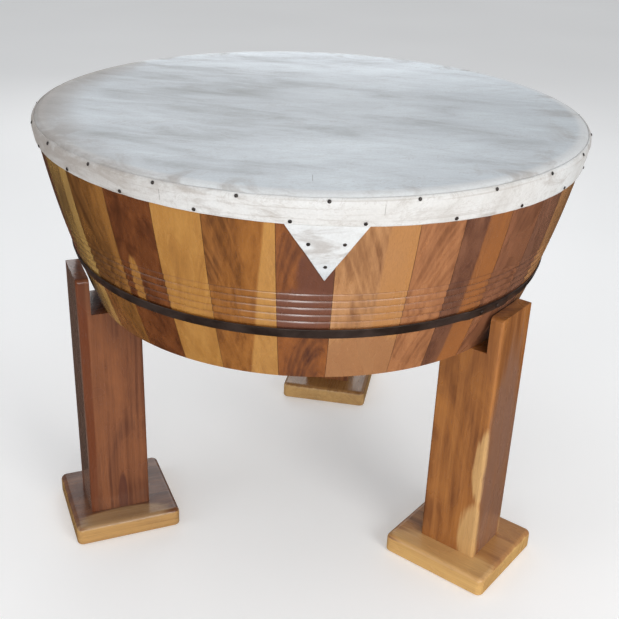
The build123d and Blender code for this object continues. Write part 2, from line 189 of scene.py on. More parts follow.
def give(piece, body, material, slot, *nodes):
    """Finish of a new piece: its body, material and the CAD nodes it stands for.  slot is not used."""
    piece.data.materials.append(material)
    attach(piece, body)
    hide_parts(*nodes)
    return piece


def islands(name):
    """Vertices of each separate solid of a CAD node."""
    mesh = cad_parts[name].data
    points = node_points(name)
    keys = {}
    parent = list(range(len(points)))

    def find(i):
        while parent[i] != i:
            parent[i] = parent[parent[i]]
            i = parent[i]
        return i

    for i, point in enumerate(points):
        key = tuple(np.round(point * 1e5).astype(int))
        if key in keys:
            parent[find(i)] = find(keys[key])
        keys.setdefault(key, i)
    for edge in mesh.edges:
        a, b = edge.vertices
        parent[find(a)] = find(b)
    groups = {}
    for i in range(len(points)):
        groups.setdefault(find(i), []).append(i)
    return [points[g] for g in groups.values()]


# ---- materials ---------------------------------------------------------------------------
def colour(red, green, blue):
    """Linear colour from the usual 0-255 numbers."""
    def linear(value):
        value /= 255
        return value / 12.92 if value <= 0.04045 else ((value + 0.055) / 1.055) ** 2.4
    return (linear(red), linear(green), linear(blue), 1.0)


GLUE_DARK = colour(42, 22, 12)


class Shader:
    """A material's node tree, with a short call for each kind of node used here."""

    def __init__(self, name, **settings):
        self.material = bpy.data.materials.new(name)
        self.material.use_nodes = True
        self.tree = self.material.node_tree
        self.surface = self.tree.nodes["Principled BSDF"]
        for socket, value in settings.items():
            self.surface.inputs[socket.replace("_", " ")].default_value = value
        self.place = self.add("ShaderNodeTexCoord").outputs["Object"]

    def add(self, kind, inputs=(), **properties):
        node = self.tree.nodes.new(kind)
        for key, value in properties.items():
            setattr(node, key, value)
        for key, value in dict(inputs).items():
            self.feed(node.inputs[key], value)
        return node

    def feed(self, socket, value):
        if isinstance(value, bpy.types.NodeSocket):
            self.tree.links.new(value, socket)
        else:
            socket.default_value = value

    def drive(self, socket, value):
        self.feed(self.surface.inputs[socket], value)

    def math(self, operation, *values, clamp=False):
        node = self.add("ShaderNodeMath", enumerate(values), operation=operation, use_clamp=clamp)
        return node.outputs[0]

    def total(self, *values, clamp=False):
        result = values[0]
        for value in values[1:-1]:
            result = self.math("ADD", result, value)
        return self.math("ADD", result, values[-1], clamp=clamp)

    def product(self, *values):
        result = values[0]
        for value in values[1:]:
            result = self.math("MULTIPLY", result, value)
        return result

    def less(self, value, taken):
        return self.math("SUBTRACT", value, taken)

    def swing(self, value, size):
        """A 0 to 1 noise made to swing about zero, size wide."""
        return self.product(self.less(value, 0.5), size)

    def along(self, x, y, azimuth):
        """Distance out along an azimuth, and across it."""
        c, s = math.cos(math.radians(azimuth)), math.sin(math.radians(azimuth))
        out = self.total(self.product(x, c), self.product(y, s))
        return out, self.total(self.product(x, -s), self.product(y, c))

    def split(self, vector):
        node = self.add("ShaderNodeSeparateXYZ", {0: vector})
        return node.outputs[0], node.outputs[1], node.outputs[2]

    def join(self, x, y, z):
        return self.add("ShaderNodeCombineXYZ", {0: x, 1: y, 2: z}).outputs[0]

    def turned(self, vector, azimuth=0.0, scale=(1, 1, 1), shift=(0, 0, 0)):
        """Vector turned back by an azimuth, then scaled and shifted."""
        turned = self.add(
            "ShaderNodeMapping",
            {"Vector": vector, "Rotation": (0, 0, -math.radians(azimuth))},
        ).outputs[0]
        return self.add(
            "ShaderNodeMapping", {"Vector": turned, "Scale": scale, "Location": shift}
        ).outputs[0]

    def noise(self, vector, scale=1.0, detail=3.0, roughness=0.5, distortion=0.0):
        """Noise from 0 to 1, with scale in cycles per metre."""
        return self.add(
            "ShaderNodeTexNoise",
            {
                "Vector": vector,
                "Scale": scale,
                "Detail": detail,
                "Roughness": roughness,
                "Distortion": distortion,
            },
        ).outputs["Fac"]

    def stretched(self, vector, scales, shift, *rest, azimuth=0.0):
        """Noise with its own cycles per metre along each axis."""
        return self.noise(self.turned(vector, azimuth, scales, shift), 1.0, *rest)

    def ramp(self, value, *stops):
        """Colour or grey ramp through (position, colour or grey) stops."""
        node = self.add("ShaderNodeValToRGB", {0: value})
        elements = node.color_ramp.elements
        while len(elements) < len(stops):
            elements.new(0.5)
        for element, (position, tone) in zip(elements, stops):
            element.position = position
            element.color = tone if isinstance(tone, tuple) else (tone, tone, tone, 1)
        return node.outputs[0]

    def step(self, value, low, high):
        """0 below low, 1 above high, smooth between."""
        node = self.add(
            "ShaderNodeMapRange",
            {"Value": value, "From Min": low, "From Max": high},
            interpolation_type="SMOOTHSTEP",
        )
        return node.outputs[0]

    def mix(self, share, a, b, blend="MIX"):
        node = self.add("ShaderNodeMix", data_type="RGBA", blend_type=blend)
        self.feed(node.inputs[0], share)
        self.feed(node.inputs[6], a)
        self.feed(node.inputs[7], b)
        return node.outputs[2]

    def bump(self, height, strength, distance, below=None):
        inputs = {"Height": height, "Strength": strength, "Distance": distance}
        if below is not None:
            inputs["Normal"] = below
        return self.add("ShaderNodeBump", inputs).outputs[0]


# Noises of the timber, in cycles per metre out from the drum's axis, across and upwards.
SLOW_WOBBLE = (6, 6, 2)
QUICK_WOBBLE = (38, 38, 12)
FIBRE = (620, 620, 14)
BAND = (95, 95, 2)
CLOUD = (13, 13, 5)
PORES = (1300, 1300, 60)
PLANED = (24, 24, 9)
LOG_MID_Z = 0.60            # height where a leaning log's axis passes through its centre
SAP_MID_Z = 0.63            # height where a slanting edge of sapwood crosses its stated place
YEAR_SPAN = 4.0             # rings per group of fat or lean years
RING_SPAN = 0.9
GLUE_EDGE = (0.0018, 0.0003)    # radians from a stave's edge
FADED_INSIDE = colour(170, 130, 92)


def wood(name, azimuth, tones, seed, centre=(0.36, 0.0), ring=0.006, curl=0.010, lean=0.02,
         contrast=0.35, sap=None, patches=(), streaks=0.7, seam=None, lying=False,
         under_sap=None, varnish=0.55):
    """Varnished timber cut from one log.

    The log's axis passes through centre, (radial, tangential) in the piece's own turned
    frame, and leans with height.  A lying board's axis is radial, and its places are
    (height, tangential, radial).  tones run from pale early wood to dark late wood.
    sap is (edge, slant, softness, tone): wood beyond the edge is sapwood.  patches are
    (x, y, z, reach, tone) spots of other wood; one on the left post is a painted reflection.  seam marks a
    stave: half its width in radians, where the glue line shows.  under_sap is (height, softness, tone): pale
    wood below a height.
    """
    shader = Shader(name, Roughness=0.32, Coat_Weight=varnish, Coat_Roughness=0.15, Coat_IOR=1.5)
    local = shader.turned(shader.place, azimuth)
    if lying:
        x, y, z = shader.split(local)
        local = shader.join(z, y, x)
    x, y, z = shader.split(local)
    light, middle, dark = tones

    # Growth rings: distance from the log's axis, bent by slow and quick wobbles.
    from_x = shader.less(shader.total(x, shader.product(shader.less(z, LOG_MID_Z), lean)), centre[0])
    from_y = shader.less(y, centre[1])
    square = shader.total(shader.product(from_x, from_x), shader.product(from_y, from_y))
    grown = shader.total(
        shader.math("SQRT", square),
        shader.swing(shader.stretched(local, SLOW_WOBBLE, (seed, 0, 0), 3.0, 0.55), 2 * curl),
        shader.swing(shader.stretched(local, QUICK_WOBBLE, (0, seed, 0), 3.0, 0.55), 0.35 * curl),
    )
    years = shader.math("DIVIDE", grown, YEAR_SPAN * ring)
    year = shader.noise(shader.join(years, seed, 0.0), 1.0, 2.0, 0.6)
    rings = shader.math("DIVIDE", grown, RING_SPAN * ring)
    rings = shader.noise(shader.join(rings, 0.0, seed), 1.0, 2.0, 0.6)
    late = shader.ramp(rings, (0.42, 0.0), (0.62, 1.0))
    fibre = shader.stretched(local, FIBRE, (seed, seed, 0), 4.0, 0.65)
    band = shader.stretched(local, BAND, (seed, 0, seed), 3.0, 0.6, 0.5)
    cloud = shader.stretched(local, CLOUD, (0, seed, seed), 3.0, 0.55, 1.2)
    depth = shader.total(
        shader.product(late, shader.product(shader.step(cloud, 0.25, 0.65), contrast)),
        shader.swing(band, 1.5 * streaks),
        shader.swing(year, 1.3 * contrast),
        shader.swing(cloud, 1.1),
        0.30,
        clamp=True,
    )
    tint = shader.ramp(depth, (0.0, light), (0.45, middle), (1.0, dark))

    # Sapwood and spots of other wood.
    if sap:
        edge, slant, soft, tone = sap
        tilted = shader.product(shader.less(z, SAP_MID_Z), -slant)
        side = shader.total(y, tilted, shader.swing(cloud, 0.012), shader.swing(band, 0.006), -edge)
        sapwood = shader.mix(shader.product(depth, 0.45), tone, middle)
        tint = shader.mix(shader.step(side, -soft, soft), tint, sapwood)
    for spot_x, spot_y, spot_z, reaches, tone in patches:
        spot = (-spot_x / reaches[0], -spot_y / reaches[1], -spot_z / reaches[2])
        scaled = shader.turned(local, 0, tuple(1 / r for r in reaches), spot)
        far = shader.add("ShaderNodeVectorMath", {0: scaled}, operation="LENGTH").outputs["Value"]
        far = shader.total(far, shader.swing(cloud, 0.6), shader.swing(band, 0.5))
        spotted = shader.mix(shader.product(depth, 0.5), tone, middle)
        tint = shader.mix(shader.step(far, 1.15, 0.85), tint, spotted)
    if under_sap:
        level, soft, tone = under_sap
        deep = shader.total(x, shader.swing(cloud, 0.006), shader.swing(band, 0.004))
        sapwood = shader.mix(shader.product(depth, 0.55), tone, middle)
        tint = shader.mix(shader.step(deep, level + soft, level - soft), tint, sapwood)

    # Fibre and pores.
    streaked = shader.ramp(fibre, (0.25, 0.84), (0.55, 1.0), (0.8, 1.07))
    tint = shader.mix(1.0, tint, streaked, "MULTIPLY")
    pores = shader.step(shader.stretched(local, PORES, (seed, 0, 0), 1.0, 0.4), 0.64, 0.74)
    tint = shader.mix(shader.product(pores, 0.40), tint, dark)
    height = shader.less(shader.product(fibre, 0.25), shader.product(pores, 0.5))
    gloss = shader.total(shader.ramp(cloud, (0.3, 0.20), (0.7, 0.34)), shader.product(pores, 0.2))

    # A stave's grooves between beads, darkened with dirt and painted shade, its glue line and its bare
    # inside.
    if seam:
        phase = shader.math("FRACT", shader.math("DIVIDE", shader.less(z, HOOP_TOP_Z), BEAD_PITCH))
        # Dirt and painted shade: the grooves between the beads are darkened as if the beads shaded them.
        groove_dirt_and_shade = shader.product(
            shader.step(shader.math("ABSOLUTE", shader.less(phase, 0.5)), 0.34, 0.50),
            shader.step(z, HOOP_TOP_Z, HOOP_TOP_Z + MM),
            shader.step(z, BEAD_TOP_Z + 3 * MM, BEAD_TOP_Z + 2 * MM),
        )
        tint = shader.mix(shader.product(groove_dirt_and_shade, 0.45), tint, dark)
        turn = shader.math("ABSOLUTE", shader.math("ARCTAN2", y, x))
        glue = shader.step(turn, seam - GLUE_EDGE[0], seam - GLUE_EDGE[1])
        tint = shader.mix(shader.product(glue, 0.7), tint, GLUE_DARK)
        height = shader.less(height, shader.product(glue, 2.0))
        normal = shader.add("ShaderNodeNewGeometry").outputs["Normal"]
        level_place = shader.add(
            "ShaderNodeVectorMath", {0: shader.place, 1: (1, 1, 0)}, operation="MULTIPLY"
        ).outputs[0]
        outward = shader.add(
            "ShaderNodeVectorMath", {0: normal, 1: level_place}, operation="DOT_PRODUCT"
        ).outputs["Value"]
        inner = shader.step(outward, 0.02, -0.10)
        tint = shader.mix(inner, tint, shader.mix(0.5, tint, FADED_INSIDE))
        gloss = shader.math("MAXIMUM", gloss, shader.product(inner, 0.75))
    shader.drive("Base Color", tint)
    shader.drive("Roughness", gloss)
    planed = shader.bump(shader.stretched(local, PLANED, (seed, 3, 0), 2.0, 0.5), 0.3, 1.5 * MM)
    shader.drive("Normal", shader.bump(height, 0.35, 0.25 * MM, planed))
    return shader.material


# Noises of the hide, in cycles per metre along x, y and z.
HIDE_BROAD = (2.2, 5, 4)
HIDE_PATCH = (5, 17, 12)
HIDE_VEIN = (6, 26, 18)
HIDE_SMUDGE = (9, 9, 30)
HIDE_FOLD = (3.5, 3.5, 240)
HIDE_GRAIN = 260
STAINED_RIM = (0.40, 0.487)         # radii over which the rim's stains come in
SHOULDER_TONE = (0.470, 0.484)      # x over which the rim turns browner down the left side
BROWNER_LEFT_SIDE = (-0.26, -0.50)       # x over which the left side's stain comes in
SHOULDER_PALE = colour(226, 225, 223)
SLIT_DARK = colour(96, 84, 78)
PAINTED_LIGHT_START = -0.56                 # y where the painted light along the drum's depth begins


def rawhide(name, tones, seed, stain, lines, creases=0.0, painted_light=()):
    """Dry scraped hide: clouded, streaked across the drum, faintly veined and smudged.

    The last argument lists (y, brightness) along the depth of the drum: painted light, the hide
    brightened towards the back in place of glare and a little dimmed across the middle.  creases is the
    strength of the level folds pressed into a strip.  lines are (azimuth, from, to, width, level): dark
    slits between two heights, or between two radii when level is set.
    """
    shader = Shader(name, Roughness=0.5, Sheen_Weight=0.15, Sheen_Roughness=0.5,
                    Specular_IOR_Level=0.35)
    place = shader.place
    x, y, z = shader.split(place)
    broad = shader.stretched(place, HIDE_BROAD, (seed, 0, 0), 4.0, 0.55, 0.8, azimuth=12)
    patch = shader.stretched(place, HIDE_PATCH, (0, seed, 0), 6.0, 0.68, 0.5, azimuth=-6)
    vein = shader.stretched(place, HIDE_VEIN, (seed, seed, 0), 5.0, 0.7, 1.6, azimuth=20)
    grain = shader.noise(place, HIDE_GRAIN, 4.0, 0.65)
    light, middle, dark = tones
    mottle = shader.total(shader.product(broad, 0.50), shader.product(patch, 0.50))
    tint = shader.ramp(mottle, (0.34, dark), (0.48, middle), (0.62, light))
    # Painted light: the hide is brightened or dimmed along the drum's depth, brightest at the back.
    if painted_light:
        depth = shader.total(shader.total(y, 0.5), shader.product(broad, 0.12))
        low, high = min(tone for _, tone in painted_light), max(tone for _, tone in painted_light)
        stops = [(spot - PAINTED_LIGHT_START, (tone - low) / (high - low)) for spot, tone in painted_light]
        bright = shader.total(low, shader.product(shader.ramp(depth, *stops), high - low))
        tint = shader.mix(1.0, tint, shader.join(bright, bright, bright), "MULTIPLY")
    vein_line = shader.step(shader.math("ABSOLUTE", shader.less(vein, 0.5)), 0.018, 0.0)
    tint = shader.mix(shader.product(vein_line, 0.22), tint, stain)

    # Paler shoulder, stains round the rim with more of them on the left, and the rim browner down the left
    # side.
    radius = shader.math("SQRT", shader.total(shader.product(x, x), shader.product(y, y)))
    if painted_light:
        tint = shader.mix(shader.product(shader.step(radius, *SHOULDER_TONE), 0.6), tint, SHOULDER_PALE)
    rim = shader.step(radius, *STAINED_RIM)
    left = shader.step(shader.total(x, shader.product(y, 0.35)), *BROWNER_LEFT_SIDE)
    smudge = shader.stretched(place, HIDE_SMUDGE, (seed, 4, 0), 5.0, 0.65, 0.7)
    smudge = shader.step(shader.total(smudge, shader.product(left, 0.14)), 0.50, 0.68)
    tint = shader.mix(shader.product(shader.product(rim, smudge), 0.50), tint, stain)
    # The rim turns smoothly browner down the whole left side.
    tint = shader.mix(shader.product(rim, left, 0.45), tint, stain)
    tint = shader.mix(1.0, tint, shader.ramp(grain, (0.3, 0.93), (0.7, 1.04)), "MULTIPLY")
    height = shader.total(shader.product(grain, 0.35), patch)
    if creases:
        fold = shader.stretched(place, HIDE_FOLD, (seed, 0, 7), 4.0, 0.62, 0.2)
        tint = shader.mix(shader.product(shader.step(fold, 0.46, 0.34), creases), tint, stain)
        height = shader.total(height, shader.product(fold, 1.6))
    for azimuth, low, high, width, level in lines:
        out, across = shader.along(x, y, azimuth)
        run = out if level else z
        cut = shader.product(
            shader.step(shader.math("ABSOLUTE", across), width, 0.3 * width),
            shader.step(out, 0.0, 0.1),
            shader.product(shader.step(run, low, low + MM), shader.step(run, high, high - MM)),
        )
        tint = shader.mix(shader.product(cut, 0.7), tint, SLIT_DARK)
        height = shader.less(height, cut)
    shader.drive("Base Color", tint)
    shader.drive("Roughness", shader.ramp(mottle, (0.3, 0.62), (0.7, 0.42)))
    shader.drive("Normal", shader.bump(height, 0.30, 0.5 * MM))
    return shader.material


def iron(name, tones, seed, scale):
    """Forged iron, dark with oxide, rubbed brighter in places."""
    shader = Shader(name, Metallic=0.35, Roughness=0.45, Coat_Weight=0.3, Coat_Roughness=0.2)
    oxide = shader.stretched(shader.place, (scale, scale, scale), (seed, 0, 0), 4.0, 0.6)
    hammer = shader.noise(shader.place, 2.2 * scale, 2.0, 0.5)
    specks = shader.noise(shader.place, 1200.0, 2.0, 0.6)
    dark, light, rust = tones
    tint = shader.ramp(oxide, (0.35, dark), (0.65, light))
    tint = shader.mix(shader.step(specks, 0.62, 0.74), tint, rust)
    shader.drive("Base Color", tint)
    shader.drive("Roughness", shader.ramp(oxide, (0.3, 0.52), (0.7, 0.36)))
    height = shader.total(hammer, shader.product(specks, 0.2))
    shader.drive("Normal", shader.bump(height, 0.4, 0.5 * MM))
    return shader.material


# ---- timber of the staves ----------------------------------------------------------------
STAVE_WOODS = (
    dict(tones=(colour(172, 134, 76), colour(146, 110, 62), colour(104, 74, 40)), centre=(0.30, 0.10),
         sap=(0.018, 0.02, 0.004, colour(186, 146, 82))),
    dict(tones=(colour(150, 100, 48), colour(118, 76, 35), colour(80, 46, 20)), centre=(0.30, -0.12),
         sap=(0.034, -0.05, 0.008, colour(160, 108, 50))),
    dict(tones=(colour(128, 74, 38), colour(102, 55, 26), colour(70, 36, 16)),
         centre=(0.37, -0.02), curl=0.016,
         patches=((0.455, -0.016, 0.605, (0.05, 0.010, 0.050), colour(176, 122, 58)),)),
    dict(tones=(colour(190, 138, 72), colour(172, 119, 56), colour(140, 90, 40)),
         centre=(0.33, 0.16), contrast=0.20, streaks=0.4),
    dict(tones=(colour(160, 104, 50), colour(136, 84, 38), colour(82, 46, 20)),
         centre=(0.30, -0.16), contrast=0.35,
         streaks=0.9, sap=(0.022, 0.12, 0.003, colour(190, 138, 74))),
    dict(tones=(colour(152, 92, 48), colour(128, 76, 42), colour(82, 48, 36)),
         centre=(0.40, 0.03), curl=0.022,
         patches=((0.47, 0.018, 0.665, (0.06, 0.030, 0.070), colour(106, 66, 52)),
                  (0.46, 0.0, 0.600, (0.06, 0.060, 0.045), colour(116, 74, 60)))),
    dict(tones=(colour(192, 142, 98), colour(176, 126, 82), colour(134, 88, 54)),
         centre=(0.28, -0.13), contrast=0.30,
         sap=(0.012, 0.04, 0.003, colour(180, 126, 74)),
         patches=((0.42, 0.0, 0.50, (0.06, 0.08, 0.055), colour(162, 112, 74)),)),
    dict(tones=(colour(178, 122, 80), colour(162, 107, 69), colour(126, 78, 48)), centre=(0.38, 0.06)),
    dict(tones=(colour(126, 84, 62), colour(106, 68, 50), colour(76, 46, 36)),
         centre=(0.40, -0.03), curl=0.03,
         sap=(-0.004, 0.03, 0.003, colour(156, 98, 54))),
    dict(tones=(colour(150, 98, 70), colour(132, 86, 60), colour(100, 60, 42)), centre=(0.31, 0.11)),
    dict(tones=(colour(142, 98, 76), colour(124, 84, 64), colour(94, 60, 46)), centre=(0.36, -0.09)),
)
DARK_WOODS = (2, 5, 8)
PALE_WOODS = (3,)


def stave_timber(number):
    """Which timber a stave is cut from: the front's order, reshuffled further round."""
    lap, place = divmod(number, len(STAVE_WOODS))
    if place in PALE_WOODS:
        return place
    kin = DARK_WOODS if place in DARK_WOODS else [
        i for i in range(len(STAVE_WOODS)) if i not in DARK_WOODS and i not in PALE_WOODS
    ]
    step = lap * (1 if place in DARK_WOODS else 3)
    return kin[(list(kin).index(place) + step) % len(kin)]


def finish_node(name, material):
    """A CAD node keeps its shape and takes a better material."""
    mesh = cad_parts[name].data
    if not mesh.materials:
        mesh.materials.append(material)
    for i in range(len(mesh.materials)):
        mesh.materials[i] = material


def finish_staves():
    for number, name in enumerate(STAVES):
        points = node_points(name)
        middle = azimuth_of(points[:, 0].mean(), points[:, 1].mean())
        turns = [turn_between(azimuth_of(x, y), middle) for x, y, _ in points]
        middle += (max(turns) + min(turns)) / 2
        half = math.radians((max(turns) - min(turns)) / 2)
        timber = STAVE_WOODS[stave_timber(number)]
        finish_node(name, wood(f"wood_{name}", middle, seed=1.7 * number + 0.4, seam=half, **timber))


# ---- timber of the posts and foot plates -------------------------------------------------
PALE_SAP = colour(214, 170, 112)
POST_WOODS = {
    "left": dict(tones=(colour(146, 92, 60), colour(128, 79, 52), colour(90, 50, 34)), centre=(0.20, -0.12),
                 patches=((0.456, 0.05, 0.27, (0.014, 0.02, 0.6), colour(112, 60, 36)),
                          # Painted reflection: a greyish layer over the outer face, in place of the glare
                          # from the bright surroundings.
                          (0.462, 0.0, 0.30, (0.007, 0.07, 0.40), colour(124, 100, 88)),
                          (0.395, 0.055, 0.06, (0.010, 0.02, 0.055), colour(92, 54, 44)))),
    "right": dict(tones=(colour(182, 120, 64), colour(158, 100, 52), colour(112, 64, 34)),
                  centre=(0.30, 0.20),
                  curl=0.02,
                  patches=((0.456, -0.052, 0.235, (0.022, 0.010, 0.075), PALE_SAP),
                           (0.452, -0.052, 0.075, (0.028, 0.012, 0.080), PALE_SAP),
                           (0.458, 0.052, 0.060, (0.012, 0.010, 0.060), PALE_SAP),
                           (0.462, 0.0, 0.22, (0.010, 0.055, 0.30), colour(140, 104, 86)))),
    "rear": dict(tones=(colour(160, 104, 64), colour(140, 88, 54), colour(100, 58, 36)),
                 centre=(0.30, -0.20)),
}
PLATE_SAP_DEPTH = 5 * MM    # pale sapwood starts this far under a plate's top
PLATE_WOODS = {
    "left": dict(tones=(colour(140, 90, 54), colour(108, 66, 40), colour(72, 38, 24)), centre=(-0.10, -0.03),
                 sapwood=colour(200, 156, 98),
                 patches=((0.020, 0.085, 0.40, (0.06, 0.030, 0.09), colour(178, 142, 100)),)),
    "right": dict(tones=(colour(196, 142, 84), colour(172, 118, 68), colour(124, 78, 42)),
                  centre=(-0.12, 0.04),
                  sapwood=colour(222, 178, 112),
                  patches=((0.020, -0.080, 0.42, (0.06, 0.040, 0.12), colour(224, 178, 116)),)),
    "rear": dict(tones=(colour(160, 116, 66), colour(140, 98, 54), colour(104, 68, 38)),
                 centre=(-0.10, 0.02),
                 sapwood=colour(200, 160, 104)),
}


STEEL_TONES = (colour(140, 138, 132), colour(176, 174, 168), colour(120, 96, 70))


def finish_stand():
    steel = iron("screw_steel_finish", STEEL_TONES, 3, 90)
    for number, (side, azimuth) in enumerate(POSTS.items()):
        post = wood(f"wood_post_{side}", azimuth, seed=20.3 + 3.1 * number, varnish=0.35,
                    **POST_WOODS[side])
        finish_node(f"leg_post_{side}", post)
        plate = dict(PLATE_WOODS[side])
        under_sap = (PLATE_TOP_Z - PLATE_SAP_DEPTH, 1.5 * MM, plate.pop("sapwood"))
        board = wood(f"wood_plate_{side}", azimuth, seed=40.9 + 2.3 * number, ring=0.007,
                     lying=True, under_sap=under_sap, varnish=0.10, **plate)
        finish_node(f"foot_plate_{side}", board)
        finish_node(f"foot_screws_{side}", steel)


# ---- rawhide head ------------------------------------------------------------------------
HIDE_TURNS = 1440           # columns round the drum
STEP = 360 / HIDE_TURNS
TACK_ISLANDS = {row: islands(f"tacks_{row}") for row in ("upper_row", "lower_row", "tongue")}


def tack_place(points):
    """Seat and outward axis of one tack, from the vertices of its solid."""
    middle = points.mean(0)
    _, _, axes = np.linalg.svd(points - middle)
    axis = axes[0]
    if axis @ np.array([middle[0], middle[1], 0]) < 0:
        axis = -axis
    along = (points - middle) @ axis
    crown = middle + axis * along.max()
    return Vector(crown), Vector(axis)


TACKS = {row: [tack_place(points) for points in solids] for row, solids in TACK_ISLANDS.items()}
TACK_SPOTS = [
    (azimuth_of(crown.x, crown.y), crown.z) for row in TACKS.values() for crown, _ in row
]


def shoulder(offset, top_z, round_radius):
    """Middle of the shoulder's round, and the point where it runs into the side."""
    mid_z = top_z - round_radius
    mid_r = side_radius(mid_z, offset - round_radius)
    reach = (ARC_RADIUS + offset) / math.hypot(mid_r - ARC_R, mid_z - ARC_Z)
    return (mid_r, mid_z), (ARC_R + (mid_r - ARC_R) * reach, ARC_Z + (mid_z - ARC_Z) * reach)


def tongue_edge(azimuth):
    """Height of the tongue's edge, or None away from the tongue."""
    across = math.radians(turn_between(azimuth, TONGUE)) * side_radius(TOP_Z - APRON_DEPTH)
    root = apron_edge(TONGUE)
    tip = TOP_Z - TONGUE_DROP
    share = abs(across) / (TONGUE_WIDTH / 2)
    if share >= 1:
        return None
    straight = tip + (root - tip) * share
    return straight + 1.2 * MM * wander(0.9 * math.degrees(across), 3.1, 0.0) * share * (1 - share) * 4


def hide_edge(azimuth):
    """Cut edge of the hide: the trimmed apron, with the tongue left on it."""
    ragged = 0.6 * MM * wander(0.35 * azimuth, 8.8, 0.0) + 0.3 * MM * wander(1.7 * azimuth, 2.8, 0.0)
    edge = apron_edge(azimuth) + max(ragged, -0.5 * MM)
    hanging = tongue_edge(azimuth)
    return edge if hanging is None else min(edge, hanging)


def dimple(azimuth, z, radius, depth):
    """How far the hide is pulled in round the tacks."""
    pull = 0.0
    for tack_azimuth, tack_z in TACK_SPOTS:
        turn = turn_between(azimuth, tack_azimuth)
        if abs(turn) < 3 and abs(z - tack_z) < 0.02:
            far = math.hypot(math.radians(turn) * radius, z - tack_z)
            pull = max(pull, depth * math.exp(-((far / (6 * MM)) ** 2)))
    return pull


def hide_profile(offset, top_z, round_radius, edge, top_rings, round_steps, side_steps):
    """(radius, z, normal radial, normal z) down one column, from near the middle to the edge."""
    (mid_r, mid_z), (_, end_z) = shoulder(offset, top_z, round_radius)
    column = [(mid_r * (i / top_rings) ** 0.8, top_z, 0.0, 1.0) for i in range(1, top_rings + 1)]
    end_r = side_radius(end_z, offset)
    end_angle = math.atan2(end_z - mid_z, end_r - mid_r)
    for i in range(1, round_steps):
        angle = math.pi / 2 + (end_angle - math.pi / 2) * i / round_steps
        across, tall = math.cos(angle), math.sin(angle)
        column.append((mid_r + round_radius * across, mid_z + round_radius * tall, across, tall))
    for i in range(side_steps + 1):
        z = end_z + (edge - end_z) * i / side_steps
        across, tall = side_normal(z, offset)
        column.append((side_radius(z, offset), z, across, tall))
    return column


def build_hide(material):
    """The drum head: playing surface, skirt and tongue, one closed skin with two sides."""
    top_rings, round_steps, side_steps = 70, 8, 26
    columns = []
    for i in range(HIDE_TURNS):
        azimuth = TONGUE + i * STEP
        edge = hide_edge(azimuth)
        outer = hide_profile(
            SKIN_OUT, TOP_Z, EDGE_ROUND + SKIN_THICK, edge, top_rings, round_steps, side_steps
        )
        inner = hide_profile(LAYER_FIT, RIM_Z, EDGE_ROUND, edge, top_rings, round_steps, side_steps)
        free = 1 if tongue_edge(azimuth) is not None else 0
        column = []
        for radius, z, across, tall in outer:
            x, y = radius * math.cos(math.radians(azimuth)), radius * math.sin(math.radians(azimuth))
            flat = max(0.0, 1 - radius / 0.47)
            lift = -0.35 * MM * (1 + wander(5 * x, 5 * y, 0.3)) * min(1.0, 4 * flat)
            if z < apron_edge(azimuth) - 1 * MM and free:
                lift = 0.35 * MM * (1 + wander(30 * x, 30 * y, 30 * z))
                lift -= dimple(azimuth, z, radius, 0.5 * MM)
            column.append(polar(radius + lift * across, azimuth, z + lift * tall))
        for radius, z, across, tall in reversed(inner):
            column.append(polar(radius, azimuth, z))
        columns.append(column)
    rows = len(columns[0])
    vertices = [point for column in columns for point in column]
    faces = grid_faces(HIDE_TURNS, rows, True, False)
    top, under = len(vertices), len(vertices) + 1
    vertices += [Vector((0, 0, TOP_Z - 0.4 * MM)), Vector((0, 0, RIM_Z))]
    for i in range(HIDE_TURNS):
        j = (i + 1) % HIDE_TURNS
        faces.append((top, i * rows, j * rows))
        faces.append((under, j * rows + rows - 1, i * rows + rows - 1))
    hide = new_mesh("hide", vertices, faces)
    return give(hide, "drum", material, "rawhide_head", "drumhead", "hide_skirt")


CREASE_DEPTH = 0.18 * MM


def build_strip(material):
    """Lapping strip over the skirt, its ends meeting at the back."""
    butt = math.degrees(BUTT_GAP / 2 / RIM_R)
    count = HIDE_TURNS
    columns = []
    side_steps, corner = 16, 0.6 * MM
    for i in range(count + 1):
        azimuth = BUTT_AZIMUTH + butt + (360 - 2 * butt) * i / count
        low = apron_edge(azimuth) + max(-0.5 * MM, 0.6 * MM * wander(0.35 * azimuth, 8.8, 0.0))
        high = STRIP_TOP_Z - 0.8 * MM * (1 + wander(0.2 * azimuth, 1.2, 0.0))
        ring = []
        for share in [s / side_steps for s in range(side_steps + 1)]:
            z = high + (low - high) * share
            ring.append((z, STRIP_OUT))
        ring[0] = (high - 0.2 * MM, STRIP_OUT - 0.15 * MM)
        ring.insert(0, (high, STRIP_OUT - corner))
        ring[-1] = (low + 0.2 * MM, STRIP_OUT - 0.15 * MM)
        ring.append((low, STRIP_OUT - corner))
        ring.append((low, STRIP_IN))
        for share in (0.75, 0.5, 0.25, 0.1, 0.0):
            ring.append((high + (low - high) * share, STRIP_IN))
        east, north = math.cos(math.radians(azimuth)), math.sin(math.radians(azimuth))
        column = []
        for z, offset in ring:
            crease = CREASE_DEPTH * (wander(2.2 * east, 2.2 * north, 260 * z) - 0.2)
            pull = dimple(azimuth, z, RIM_R, 0.6 * MM)
            if offset > STRIP_IN + 0.5 * MM:
                offset += min(0.0, crease) - pull
            column.append(strip_point(azimuth, z, offset))
        columns.append(column)
    rows = len(columns[0])
    vertices = [point for column in columns for point in column]
    faces = grid_faces(count + 1, rows, False, True)
    faces.append(tuple(range(rows)))
    faces.append(tuple(count * rows + j for j in reversed(range(rows))))
    strip = new_mesh("lapping", vertices, faces)
    return give(strip, "drum", material, "rawhide_strip", "lapping_strip")


